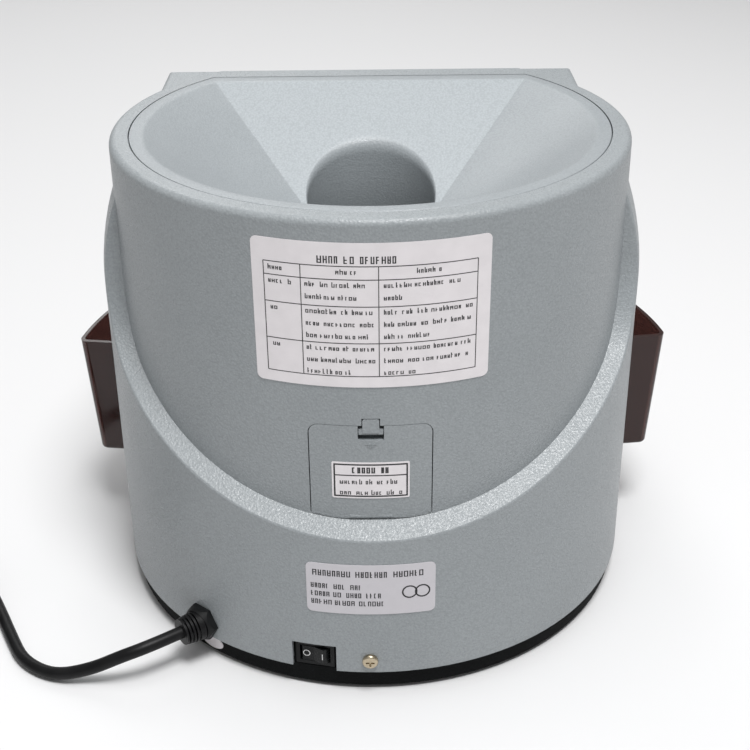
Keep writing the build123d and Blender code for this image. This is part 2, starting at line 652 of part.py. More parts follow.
# ---- control panel ------------------------------------------------------------------------
def key_spots():
    first = -(KEY_COUNT - 1) / 2
    return [((first + k) * KEY_PITCH, KEY_DOWN) for k in range(KEY_COUNT)]


def control_overlay():
    """Printed overlay plate, open for the window and the keys."""
    plate = panel_box(PANEL_W - 0.5, PANEL_H - 0.5, -PANEL_RECESS, 0, 3.7)
    plate = on_panel(plate, 0, PANEL_DOWN)
    plate = plate - on_panel(panel_box(WINDOW_W, WINDOW_H, -3, 3, 2), 0, WINDOW_DOWN)
    for x, down in key_spots():
        plate = plate - on_panel(Cylinder(KEY_R + 0.4, 6), x, down)
    return plate


def display_window():
    return on_panel(panel_box(WINDOW_W - 0.4, WINDOW_H - 0.4, -PANEL_RECESS, 0.4, 1.8), 0, WINDOW_DOWN)


def display_module():
    """Liquid crystal module: glass on its frame, behind the window."""
    glass = panel_box(WINDOW_W - 6, WINDOW_H - 6, -5.0, -1.6)
    frame = panel_box(WINDOW_W + 2, WINDOW_H, -8.2, -5.0)
    return on_panel(glass + frame, 0, WINDOW_DOWN)


def control_board():
    """Keyboard and display board with a contact under each key."""
    board = on_panel(panel_box(PANEL_W - 12, 56, -11.4, -9.8), 0, PANEL_DOWN - 1)
    for x, down in key_spots():
        board = board + on_panel(Pos(0, 0, -9.2) * Cylinder(3.0, 1.4), x, down)
    board = board + on_panel(panel_box(WINDOW_W - 10, 10, -10, -8.2), 0, WINDOW_DOWN)
    for side in (-1, 1):
        board = board + on_panel(Pos(0, 0, -6.35) * Cylinder(3.0, 7.1), side * 62, WINDOW_DOWN)
    return board


def key(k):
    """Round key: domed cap, retaining flange and stem."""
    x, down = key_spots()[k]
    cap = Pos(0, 0, -0.4) * Cylinder(KEY_R, 4.0)
    cap = fillet(cap.edges().sort_by(Axis.Z)[-1], 0.9)
    flange = Pos(0, 0, -1.95) * Cylinder(KEY_R + 0.9, 0.9)
    stem = Pos(0, 0, -4.8) * Cylinder(1.6, 5.0)
    return on_panel(cap + flange + stem, x, down)


# ---- sorting works ------------------------------------------------------------------------
def sorting_rail():
    """Flat steel deck with eight coin slots near its rim."""
    deck = rod(DECK_R, DECK_Z0, DECK_Z1) - rod(13, DECK_Z0 - 1, DECK_Z1 + 1)
    deck = deck - block(-44, 44, 126, 140, DECK_Z0 - 1, DECK_Z1 + 1)
    for i in range(CUP_COUNT):
        half = SLOT_HALF_DEG * (0.55 + 0.45 * (i + 1) / CUP_COUNT)
        deck = deck - bay_sector(SLOT_R0, SLOT_R1, cup_angle(i) - half, cup_angle(i) + half,
                                 DECK_Z0 - 1, DECK_Z1 + 1)
    for x, y in PILLAR_SPOTS:
        deck = deck - Pos(x, y, DECK_Z1 - 1) * Cone(1.6, 3.6, 2.0)
    return deck


def guide_ring():
    """Wall round the rail that keeps the coins on it, open behind the access door."""
    ring = tube(RAIL_R_OUT + 4, RAIL_R_OUT + 1.2, DECK_Z1, DECK_Z1 + 20)
    foot = tube(RAIL_R_OUT + 8, RAIL_R_OUT + 3, DECK_Z1, DECK_Z1 + 2)
    return ring + foot - block(-26, 28, 90, 140, DECK_Z1 - 1, DECK_Z1 + 30)


def sorting_disc():
    """Turntable that throws the coins outwards on to the rail."""
    disc = rod(DISC_R, DISC_Z0, DISC_Z1) + rod(12, DISC_Z0 - 2.4, DISC_Z0 + 1)
    return disc - rod(SHAFT_R, DISC_Z0 - 4, DISC_Z1 + 1)


def disc_pad():
    """Ridged rubber pad on the disc."""
    pad = tube(DISC_R - 4, 18, DISC_Z1, DISC_Z1 + 1.2)
    for k in range(12):
        pad = pad + Rot(0, 0, 30 * k) * block(30, DISC_R - 6, -1.2, 1.2, DISC_Z1 + 1, DISC_Z1 + 2.0)
    return pad


def disc_nut():
    """Domed nut that holds the disc on its shaft."""
    low = DISC_Z1
    return revolved([(0, low + 3.2), (SHAFT_R, low + 3.2), (SHAFT_R, low), (16, low), (16, low + 1.5),
                     (8, low + 5), (0, low + 6)])


def carrier_ring():
    """Ring on the disc's rim whose fins push the coins round the rail."""
    ring = tube(DISC_R, DISC_R - 3.5, DISC_Z1, DISC_Z1 + 3)
    for k in range(CARRIER_FINS):
        fin = block(DISC_R - 2, RAIL_R_OUT - 0.4, -1.0, 1.0, DISC_Z1 - 1.6, DISC_Z1 + 3)
        ring = ring + Rot(0, 0, 360 / CARRIER_FINS * (k + 0.5)) * (fin - rod(DISC_R, 100, DISC_Z1))
    return ring


def spindle():
    return rod(SHAFT_R, 90, DISC_Z1 + 3.2)


def bearing_housing():
    """Flanged housing under the deck, bored for a bearing at each end."""
    return revolved([(8, 122), (BEARING_R, 122), (BEARING_R, 129), (8.5, 129), (8.5, 147),
                     (BEARING_R, 147), (BEARING_R, DECK_Z0), (30, DECK_Z0), (30, 150.5), (16, 149),
                     (16, 121), (8, 121)])


def spindle_bearings():
    """Two ball bearings, races and shields as one ring each."""
    bore = SHAFT_R + 0.03
    return Compound([tube(BEARING_R, bore, 122, 129), tube(BEARING_R, bore, 147, DECK_Z0)])


def pulley(radius, bore, x=0.0, y=0.0):
    """Flanged belt pulley."""
    wheel = rod(radius, PULLEY_Z0, PULLEY_Z1, x, y)
    for z in (PULLEY_Z0, PULLEY_Z1 - 1):
        wheel = wheel + rod(radius + 1.4, z, z + 1, x, y)
    return wheel - rod(bore, PULLEY_Z0 - 1, PULLEY_Z1 + 1, x, y)


def drive_pulley():
    """Large pulley on the spindle, lightened by six holes."""
    wheel = pulley(DRIVE_R, SHAFT_R)
    for k in range(6):
        x, y = polar(26, 60 * k)
        wheel = wheel - rod(9, PULLEY_Z0 - 1, PULLEY_Z1 + 1, x, y)
    return wheel


def belt_area(grow, z0, z1):
    """Stadium round both pulleys, thicker by grow."""
    big, small = DRIVE_R + grow, MOTOR_PULLEY_R + grow
    span = math.hypot(MOTOR_X, MOTOR_Y)
    aim = math.atan2(MOTOR_Y, MOTOR_X)
    lean = math.acos((big - small) / span)
    corners = []
    for side in (1, -1):
        a = aim + side * lean
        near = (big * math.cos(a), big * math.sin(a))
        far = (MOTOR_X + small * math.cos(a), MOTOR_Y + small * math.sin(a))
        corners += [near, far] if side == 1 else [far, near]
    web = extrude(Plane.XY.offset(z0) * make_face(Polyline(*corners, close=True)), amount=z1 - z0)
    return web + rod(big, z0, z1) + rod(small, z0, z1, MOTOR_X, MOTOR_Y)


def drive_belt():
    low, high = PULLEY_Z0 + 2, PULLEY_Z1 - 2
    return belt_area(0.3 + BELT_T, low, high) - belt_area(0.3, low - 1, high + 1)


def motor():
    """Main motor: can, end boss and bearing bore."""
    can = rod(MOTOR_R, 118, 150, MOTOR_X, MOTOR_Y)
    can = fillet(can.edges().filter_by(GeomType.CIRCLE), 1.5)
    can = can + rod(8, 115, 119, MOTOR_X, MOTOR_Y)
    return can - rod(2.55, 110, 142, MOTOR_X, MOTOR_Y)


def motor_shaft():
    return rod(2.5, 98, 141, MOTOR_X, MOTOR_Y)


def motor_bracket():
    """Plate between the motor and the deck."""
    plate = block(MOTOR_X - 27, MOTOR_X + 27, MOTOR_Y - 27, MOTOR_Y + 27, 150, DECK_Z0)
    return fillet(plate.edges().filter_by(Axis.Z), 6)


def encoder_wheel():
    """Slotted wheel that shows the running sensor that the disc turns."""
    wheel = rod(30, 95, 96.2) + rod(8, 95, PULLEY_Z0)
    for k in range(20):
        wheel = wheel - Rot(0, 0, 18 * k) * block(24, 28, -1.2, 1.2, 94, 97)
    return wheel - rod(SHAFT_R, 90, PULLEY_Z0 + 1)


def running_sensor():
    """Forked light barrier on a post, astride the slotted wheel's edge."""
    post = block(-6, 6, 34, 40, BASE_FLOOR_Z, 98.8)
    head = block(-6, 6, 24, 40, 88, 98.8) - block(-8, 8, 20, 32.5, 92.4, 98.8 - 0.6)
    slot = block(-8, 8, 20, 32.5, 90, 99.5)
    arm = block(-6, 6, 24, 34, 86, 91)
    return post + (head - slot) + arm + block(-14, 14, 30, 44, BASE_FLOOR_Z, BASE_FLOOR_Z + 2)


def duct(i):
    """Slanting passage from a slot in the deck to the outlet over its cup."""
    def mouth(r0, r1, half, z):
        mid = cup_angle(i)
        flat = bay_sector(r0, r1, mid - half, mid + half, z, z + 1)
        return flat.faces().sort_by(Axis.Z)[0]
    top = mouth(SLOT_R0 - 0.6, SLOT_R1 + 0.6, SLOT_HALF_DEG + 0.3, DECK_Z0 + 0.01)
    low = mouth(OUTLET_R0, OUTLET_R1, OUTLET_HALF_DEG, CEILING_Z + CEILING_T - 0.01)
    return loft([low, top], ruled=True)


def chute_ring():
    """One moulding with eight slanting coin ducts."""
    reach = CUP_END_DEG + 1.0
    ring = bay_sector(100, 139, reach, 180 - reach, CEILING_Z + CEILING_T, DECK_Z0)
    for i in range(CUP_COUNT):
        ring = ring - duct(i)
    return ring


def coin_sensors():
    """Eight light barriers, one on the inner wall of each duct."""
    found = []
    for i in range(CUP_COUNT):
        mid = cup_angle(i)
        found.append(bay_sector(93, 100, mid - 3, mid + 3, 139, 150))
    return Compound(found)


# ---- base and electrics -------------------------------------------------------------------
def foot_spots():
    return [polar(FOOT_PCD_R, 45 + 90 * k) for k in range(4)]


def base_tray():
    """Black tray: floor with vents, outer band, upstand, switch tab and screw bosses."""
    tray = rod(BASE_R, BASE_Z0, BASE_FLOOR_Z) + tube(BASE_R, BASE_R - 3.5, BASE_Z0, CASE_Z0)
    ring = tube(BASE_R - 0.6, BASE_R - 3.8, CASE_Z0 - 2, CASE_Z0 + 5.5)
    tray = tray + (ring - facing(GLAND_AZ, BASE_R, GLAND_Z) * Cylinder(14, 30))
    tab = tube(SWITCH_FACE_R - 0.2, SWITCH_FACE_R - 4, CASE_Z0 - 1, SWITCH_CUT_Z1 - 0.3)
    tab = tab & facing(SWITCH_AZ, SWITCH_FACE_R, SWITCH_Z) * Box(SWITCH_CUT_W - 0.5, 40, 20)
    tray = tray + tab
    for azimuth in SCREW_AZS:
        boss = facing(azimuth, BASE_R - 6.6, 16.4) * Box(12, 21.6, 12)
        tray = tray + boss - facing(azimuth, BASE_R, SCREW_Z) * Cylinder(1.6, 60)
    plane = facing(SWITCH_AZ, SWITCH_FACE_R, SWITCH_Z)
    tray = tray - plane * Pos(0, 0, -2) * Box(18.9, 12.7, 30)
    tray = tray - plane * Pos(0, 0, 2) * Box(21.4, 15.0, 6.8)
    for x, y in foot_spots():
        tray = tray - rod(FOOT_R + 0.1, BASE_Z0 - 1, BASE_Z0 + 1.5, x, y)
    for x, y in PILLAR_SPOTS:
        tray = tray - rod(1.7, 0, 10, x, y) - rod(3.4, 0, BASE_Z0 + 1.6, x, y)
    for k in range(-4, 5):
        tray = tray - block(-20, 20, 8 * k - 1.6, 8 * k + 1.6, 0, 10)
    return tray


def rubber_feet():
    feet = []
    for x, y in foot_spots():
        foot = rod(FOOT_R, 0, BASE_Z0 + 1.5, x, y)
        feet.append(chamfer(foot.edges().group_by(Axis.Z)[0], 1.0))
    return Compound(feet)


def case_screws():
    """Pan-head screws through the case's lower edge into the base's bosses."""
    found = []
    for azimuth in SCREW_AZS:
        plane = facing(azimuth, SKIRT_R, SCREW_Z)
        head = extrude(Circle(SCREW_HEAD_R), amount=SCREW_HEAD_H)
        head = fillet(head.edges().group_by(Axis.Z)[-1], 1.2)
        cross = Pos(0, 0, SCREW_HEAD_H) * (Box(4.6, 1.0, 2.4) + Box(1.0, 4.6, 2.4))
        found.append(plane * (head - cross + Pos(0, 0, -7) * Cylinder(1.6, 14.0)))
    return Compound(found)


def frame_screws():
    """Screws at both ends of each pillar: up through the floor, and countersunk in the deck."""
    found = []
    for x, y in PILLAR_SPOTS:
        found.append(rod(3.2, BASE_Z0 + 0.2, BASE_Z0 + 1.6, x, y) + rod(1.7, BASE_Z0 + 1, 16, x, y))
        head = Pos(x, y, DECK_Z1 - 1) * Cone(1.6, 3.6, 2.0)
        found.append(head + rod(1.6, DECK_Z0 - 12, DECK_Z1 - 1.5, x, y))
    return Compound(found)


def deck_pillars():
    """Four hexagonal posts that carry the deck."""
    posts = []
    for x, y in PILLAR_SPOTS:
        post = Pos(x, y, BASE_FLOOR_Z) * extrude(RegularPolygon(5, 6), amount=DECK_Z0 - BASE_FLOOR_Z)
        posts.append(post - rod(1.7, 0, 16, x, y) - rod(1.6, DECK_Z0 - 12, DECK_Z1, x, y))
    return Compound(posts)


def power_board():
    """Motor and supply board with its larger components."""
    x, y, z = BOARD_X, BOARD_Y, BOARD_Z
    board = block(x - 35, x + 35, y - 25, y + 25, z, z + 1.6)
    for dx, dy, r, h in ((-22, 12, 6, 20), (-8, 12, 6, 20), (24, -14, 4, 12)):
        board = board + rod(r, z + 1, z + 1.6 + h, x + dx, y + dy)
    board = board + block(x + 2, x + 30, y + 8, y + 12, z + 1, z + 24)
    return board + block(x - 30, x - 2, y - 22, y - 12, z + 1, z + 10)


def board_standoffs():
    x, y = BOARD_X, BOARD_Y
    spots = [(x + sx * 31, y + sy * 21) for sx in (-1, 1) for sy in (-1, 1)]
    return Compound([tube(3, 1.4, BASE_FLOOR_Z, BOARD_Z, px, py) for px, py in spots])


def transformer():
    """Mains transformer: laminated core with its winding."""
    x, y = TRANSFORMER_X, TRANSFORMER_Y
    core = block(x - 24, x + 24, y - 10, y + 10, BASE_FLOOR_Z, BASE_FLOOR_Z + 40)
    winding = block(x - 15, x + 15, y - 20, y + 20, BASE_FLOOR_Z + 8, BASE_FLOOR_Z + 32)
    winding = fillet(winding.edges().filter_by(Axis.Z), 4)
    return core + winding


# ---- all pieces ---------------------------------------------------------------------------
def write(node, shape):
    """Writes one node, moved from the drum's axis to the machine's own origin."""
    export_step(Pos(0, AXIS_Y, 0) * shape, f"parts/{node}.step")


PIECES = [
    case, hopper, access_door, door_latch, error_label, door_label, rating_label, inspection_seal,
    switch_body, switch_rocker, cable_gland, strain_relief, power_cord, cord_tail, cord_coil, mains_plug,
    control_overlay, display_window, display_module, control_board,
    sorting_rail, guide_ring, sorting_disc, disc_pad, disc_nut, carrier_ring, spindle,
    bearing_housing, spindle_bearings, drive_pulley, drive_belt, motor, motor_shaft, motor_bracket,
    encoder_wheel, running_sensor, chute_ring, coin_sensors, base_tray, rubber_feet, case_screws,
    frame_screws, deck_pillars, power_board, board_standoffs, transformer]


def main():
    for piece in PIECES:
        write(piece.__name__, piece())
    write("motor_pulley", pulley(MOTOR_PULLEY_R, 2.5, MOTOR_X, MOTOR_Y))
    for i in range(CUP_COUNT):
        write(f"coin_cup_{i + 1}", coin_cup(i))
    for k in range(KEY_COUNT):
        write(f"key_{k + 1}", key(k))


if __name__ == "__main__":
    main()
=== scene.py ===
import json
import math
import random

import bmesh
import bpy
from mathutils import Matrix, Vector
from mathutils.bvhtree import BVHTree


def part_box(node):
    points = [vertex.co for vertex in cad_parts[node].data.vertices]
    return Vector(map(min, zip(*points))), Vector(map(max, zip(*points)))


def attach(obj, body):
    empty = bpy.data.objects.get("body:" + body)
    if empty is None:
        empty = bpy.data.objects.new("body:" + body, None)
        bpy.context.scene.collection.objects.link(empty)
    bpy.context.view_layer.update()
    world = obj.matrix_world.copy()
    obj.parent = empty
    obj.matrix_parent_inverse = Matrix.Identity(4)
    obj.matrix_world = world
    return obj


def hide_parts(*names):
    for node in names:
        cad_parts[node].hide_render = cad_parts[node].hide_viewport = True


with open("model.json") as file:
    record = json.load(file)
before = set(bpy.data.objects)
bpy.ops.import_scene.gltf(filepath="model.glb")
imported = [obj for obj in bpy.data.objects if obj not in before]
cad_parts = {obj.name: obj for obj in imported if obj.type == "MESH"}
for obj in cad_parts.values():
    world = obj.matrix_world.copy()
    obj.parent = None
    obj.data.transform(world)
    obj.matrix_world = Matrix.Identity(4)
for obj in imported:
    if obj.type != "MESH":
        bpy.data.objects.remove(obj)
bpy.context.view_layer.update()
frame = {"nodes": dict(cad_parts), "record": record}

# ---- frame ---------------------------------------------------------------------------------
# Lengths below are millimetres round the drum's own axis, as part.py draws the machine. spot()
# takes them to the shared frame, in metres: the axis is where the spindle is.
MM = 0.001
NODES = frame["nodes"]
SPINDLE_LOW, SPINDLE_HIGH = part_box("spindle")
AXIS_X = (SPINDLE_LOW.x + SPINDLE_HIGH.x) / 2
AXIS_Y = (SPINDLE_LOW.y + SPINDLE_HIGH.y) / 2
BODY_OF = {n: b for b, members in frame["record"]["behaviour"]["bodies"].items() for n in members}
SLOT_OF = {s["node"]: s["material_slot"] for s in frame["record"]["subparts"]}


def spot(x, y, z):
    return Vector((AXIS_X + x * MM, AXIS_Y + y * MM, z * MM))


def polar(radius, azimuth_deg, z):
    """Point at an azimuth from the rear towards +X."""
    a = math.radians(azimuth_deg)
    return spot(radius * math.sin(a), radius * math.cos(a), z)


def out_at(azimuth_deg):
    a = math.radians(azimuth_deg)
    return Vector((math.sin(a), math.cos(a), 0))


# ---- camera --------------------------------------------------------------------------------
# Solved from the outlines of the drum and its rim in the photograph.
CAMERA_SPOT = (-0.43, 682.54, 486.65)
CAMERA_PITCH, CAMERA_YAW, CAMERA_ROLL = 0.50305, -0.0012, -0.0098    # radians
LENS, SENSOR = 62.94, 36.0


def make_camera():
    """Behind the machine and above it, looking down on its rear."""
    data = bpy.data.cameras.new("camera")
    data.lens, data.sensor_width = LENS, SENSOR
    camera = bpy.data.objects.new("camera", data)
    turn = (Matrix.Rotation(math.pi + CAMERA_YAW, 4, "Z")
            @ Matrix.Rotation(math.pi / 2 - CAMERA_PITCH, 4, "X")
            @ Matrix.Rotation(CAMERA_ROLL, 4, "Z"))
    camera.matrix_world = Matrix.Translation(spot(*CAMERA_SPOT)) @ turn
    bpy.context.scene.collection.objects.link(camera)
    bpy.context.scene.camera = camera


make_camera()

# ---- mains lead ----------------------------------------------------------------------------
# The route is part.py's: out of the sleeve, down to the surface and to the coil, and at the end
# from the coil's top to the plug.
LEAD_R = 3.5
LEAD_EXIT = (105.31, 126.10, 22.5)
LEAD_ROUTE = [
    (121.0, 137.4, 22.5),
    (136.5, 141.0, 18.5),
    (153.0, 140.0, 9.5),
    (174.5, 138.5, 3.6),
    (193.5, 126.5, 3.6),
    (204.5, 106.5, 3.6),
    (214.5, 87.0, 3.6),
    (224.0, 69.5, 3.6),
    (232.9, 53.8, 3.6),
]
LEAD_TAIL = [(308.5, 74.0, 17.5), (309.0, 86.0, 18.4), (309.0, 101.0, 18.4)]
COIL_X, COIL_Y = 268.0, 74.0
COIL_START_DEG, COIL_END_DEG = 210.0, 6 * 360.0
COIL_STEP_DEG = 15.0
COIL_CROSS_DEG = 75.0            # a turn takes this much angle to pass to the next place
COIL_PULL_IN = 1.6               # a turn that climbs runs this much further in, halfway up
# radius and height of each turn in the coil
COIL_PLACES = [(40.5, 3.6), (33.5, 3.6), (33.5, 10.6), (40.5, 10.6), (33.5, 17.5), (40.5, 17.5)]


def coil_points():
    """Turns beside and on each other; each passes to its next place at the end of its round."""
    points = []
    steps = int((COIL_END_DEG - COIL_START_DEG) / COIL_STEP_DEG)
    for i in range(1, steps):
        run = i * COIL_STEP_DEG
        turn = int(run // 360)
        here = COIL_PLACES[turn]
        after = COIL_PLACES[min(turn + 1, len(COIL_PLACES) - 1)]
        t = max(0.0, (run % 360 - (360 - COIL_CROSS_DEG)) / COIL_CROSS_DEG)
        t = t * t * (3 - 2 * t)
        pull_in = math.sin(math.pi * t) * (COIL_PULL_IN if after[1] > here[1] else 0.0)
        radius = here[0] + (after[0] - here[0]) * t - pull_in
        a = math.radians(COIL_START_DEG + run)
        points.append((COIL_X + radius * math.cos(a), COIL_Y + radius * math.sin(a),
                       here[1] + (after[1] - here[1]) * t))
    return points


def open_spline(name, points, radius):
    """Round tube along one smooth open spline that follows the points."""
    data = bpy.data.curves.new(name, "CURVE")
    data.dimensions = "3D"
    spline = data.splines.new("NURBS")
    spline.points.add(len(points) - 1)
    for knot, p in zip(spline.points, points):
        knot.co = (*spot(*p), 1)
        knot.radius = radius * MM
    spline.order_u = 3
    spline.use_endpoint_u = True
    spline.resolution_u = 6
    data.bevel_depth = 1.0          # times the radius of each knot
    data.bevel_resolution = 6
    data.use_fill_caps = True
    tube = bpy.data.objects.new(name, data)
    bpy.context.scene.collection.objects.link(tube)
    return tube


TIE_DEGS = (100.0, 285.0)
TIE_HALF_W = 2.6
# radius from the coil's middle, and height
TIE_INSIDE = [(29.9, 0.3), (29.9, 20.4), (30.9, 21.3), (43.1, 21.3), (44.1, 20.4), (44.1, 0.3)]
TIE_OUTSIDE = [(29.0, 0.3), (29.0, 20.8), (30.6, 22.3), (43.4, 22.3), (45.0, 20.8), (45.0, 0.3)]


def make_tie(number, angle_deg):
    """Flat tie over the coil's turns, down to the surface on both sides."""
    a = math.radians(angle_deg)
    points, faces = [], []
    for inside, outside in zip(TIE_INSIDE, TIE_OUTSIDE):
        for radius, z in (inside, outside):
            for side in (-TIE_HALF_W, TIE_HALF_W):
                points.append(spot(COIL_X + radius * math.cos(a) - side * math.sin(a),
                                   COIL_Y + radius * math.sin(a) + side * math.cos(a), z))
    for n in range(0, 4 * (len(TIE_INSIDE) - 1), 4):
        faces += [(n, n + 4, n + 5, n + 1), (n + 2, n + 3, n + 7, n + 6),
                  (n, n + 2, n + 6, n + 4), (n + 1, n + 5, n + 7, n + 3)]
    last = len(points) - 4
    faces += [(0, 1, 3, 2), (last, last + 2, last + 3, last + 1)]
    mesh = bpy.data.meshes.new(f"coil_tie_{number}")
    mesh.from_pydata(points, [], faces)
    mesh.validate()
    tie = bpy.data.objects.new(mesh.name, mesh)
    bpy.context.scene.collection.objects.link(tie)
    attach(tie, "root")
    return tie


def make_lead():
    lead = open_spline("mains_lead", [LEAD_EXIT, *LEAD_ROUTE, *coil_points(), *LEAD_TAIL], LEAD_R)
    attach(lead, "root")
    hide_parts("power_cord", "cord_coil", "cord_tail")
    return lead


ties = [make_tie(number, angle) for number, angle in enumerate(TIE_DEGS, 1)]
lead = make_lead()


# ---- hopper --------------------------------------------------------------------------------
# Its outlines are D shapes: a round of this radius, and the y of the straight front.
TOP_Z = 266.0
RIM_R, RIM_FRONT_Y = 121.0, -79.5
FLANGE_R, FLANGE_FRONT_Y, FLANGE_LOW_Z = 128.2, -88.6, 263.1
UNDER_R, UNDER_FRONT_Y = 123.4, -81.9
FRONT_SLOPE = 0.516
TUBE_R, TUBE_OUT_R, TUBE_LOW_Z = 35.0, 37.4, 181.0
MOUTH_CORNER_DEG = 30.4
LIP_SIDE, LIP_FRONT = 3.6, 6.5         # how far the throat's rounded lip reaches
LIP_NARROWS = 1.6                      # a higher power narrows the front lip sooner
RIM_SOFT, EDGE_SOFT = 1.8, 0.6
CREASE_DEG = 24
ARC_STATIONS, FRONT_STATIONS = 160, 80
LIP_STEPS, RIM_STEPS, SLOPE_STEPS, EDGE_STEPS = 10, 4, 6, 3


def d_point(radius, front_y, z, front, share):
    """Point on a D-shaped outline: along its arc from +X round to -X, or back along its front."""
    corner = math.asin(front_y / radius)
    if front:
        return Vector((radius * math.cos(corner) * (2 * share - 1), front_y, z))
    a = corner + (math.pi - 2 * corner) * share
    return Vector((radius * math.cos(a), radius * math.sin(a), z))


def curve_round(corner, start, end, steps):
    """Points of a soft corner that leaves towards start and arrives from end."""
    points = []
    for i in range(steps + 1):
        t = i / steps
        points.append(start * (1 - t) ** 2 + corner * (2 * t * (1 - t)) + end * t * t)
    return points


def hopper_section(front, share):
    """Closed section through the hopper's wall: over the bowl, down the throat and back under."""
    rim = d_point(RIM_R, RIM_FRONT_Y, TOP_Z, front, share)
    flange = d_point(FLANGE_R, FLANGE_FRONT_Y, TOP_Z, front, share)
    under = d_point(UNDER_R, UNDER_FRONT_Y, FLANGE_LOW_Z, front, share)
    rear_span = 180 - 2 * MOUTH_CORNER_DEG
    if front:
        degrees = 180 - MOUTH_CORNER_DEG + (360 - rear_span) * share
    else:
        degrees = MOUTH_CORNER_DEG + rear_span * share
    a = math.radians(degrees)
    round_out = Vector((math.cos(a), math.sin(a), 0))
    down = Vector((0, 0, -1))
    lip = LIP_SIDE + (LIP_FRONT - LIP_SIDE) * max(0.0, -math.sin(a)) ** LIP_NARROWS

    def throat(start, front_y, top_z, radius):
        corner = round_out * radius
        corner.z = top_z - FRONT_SLOPE * (corner.y - front_y)
        up_slope = corner + (start - corner).normalized() * lip
        return curve_round(corner, up_slope, corner + down * lip, LIP_STEPS)

    inside = throat(rim, RIM_FRONT_Y, TOP_Z, TUBE_R)
    outside = throat(under, UNDER_FRONT_Y, FLANGE_LOW_Z, TUBE_OUT_R)
    soft_rim = curve_round(rim, rim + (flange - rim).normalized() * RIM_SOFT,
                           rim + (inside[0] - rim).normalized() * RIM_SOFT, RIM_STEPS)
    slope = [soft_rim[-1].lerp(inside[0], i / SLOPE_STEPS) for i in range(1, SLOPE_STEPS)]
    foot = Vector((0, 0, TUBE_LOW_Z))
    edge_in = (rim - flange).normalized() * EDGE_SOFT
    edge = curve_round(flange, flange + down * EDGE_SOFT, flange + edge_in, EDGE_STEPS)
    low_edge = Vector((flange.x, flange.y, FLANGE_LOW_Z))
    return [*soft_rim, *slope, *inside, round_out * TUBE_R + foot, round_out * TUBE_OUT_R + foot,
            *reversed(outside), under, low_edge, *edge]


def make_hopper():
    """The hopper, with a softer and broader lip round its throat than the CAD's."""
    stations = [(False, i / ARC_STATIONS) for i in range(ARC_STATIONS)]
    stations += [(True, i / FRONT_STATIONS) for i in range(FRONT_STATIONS)]
    sections = [hopper_section(*station) for station in stations]
    count = len(sections[0])
    points = [spot(*p) for section in sections for p in section]
    faces = []
    for i in range(len(sections)):
        here, after = i * count, (i + 1) % len(sections) * count
        for k in range(count):
            on = (k + 1) % count
            faces.append((here + k, after + k, after + on, here + on))
    mesh = bpy.data.meshes.new("hopper_bowl")
    mesh.from_pydata(points, [], faces)
    mesh.validate()
    shape = bmesh.new()
    shape.from_mesh(mesh)
    bmesh.ops.recalc_face_normals(shape, faces=shape.faces)
    shape.to_mesh(mesh)
    shape.free()
    mesh.shade_smooth()
    mesh.set_sharp_from_angle(angle=math.radians(CREASE_DEG))
    bowl = bpy.data.objects.new("hopper_bowl", mesh)
    bpy.context.scene.collection.objects.link(bowl)
    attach(bowl, "root")
    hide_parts("hopper")
    return bowl


bowl = make_hopper()


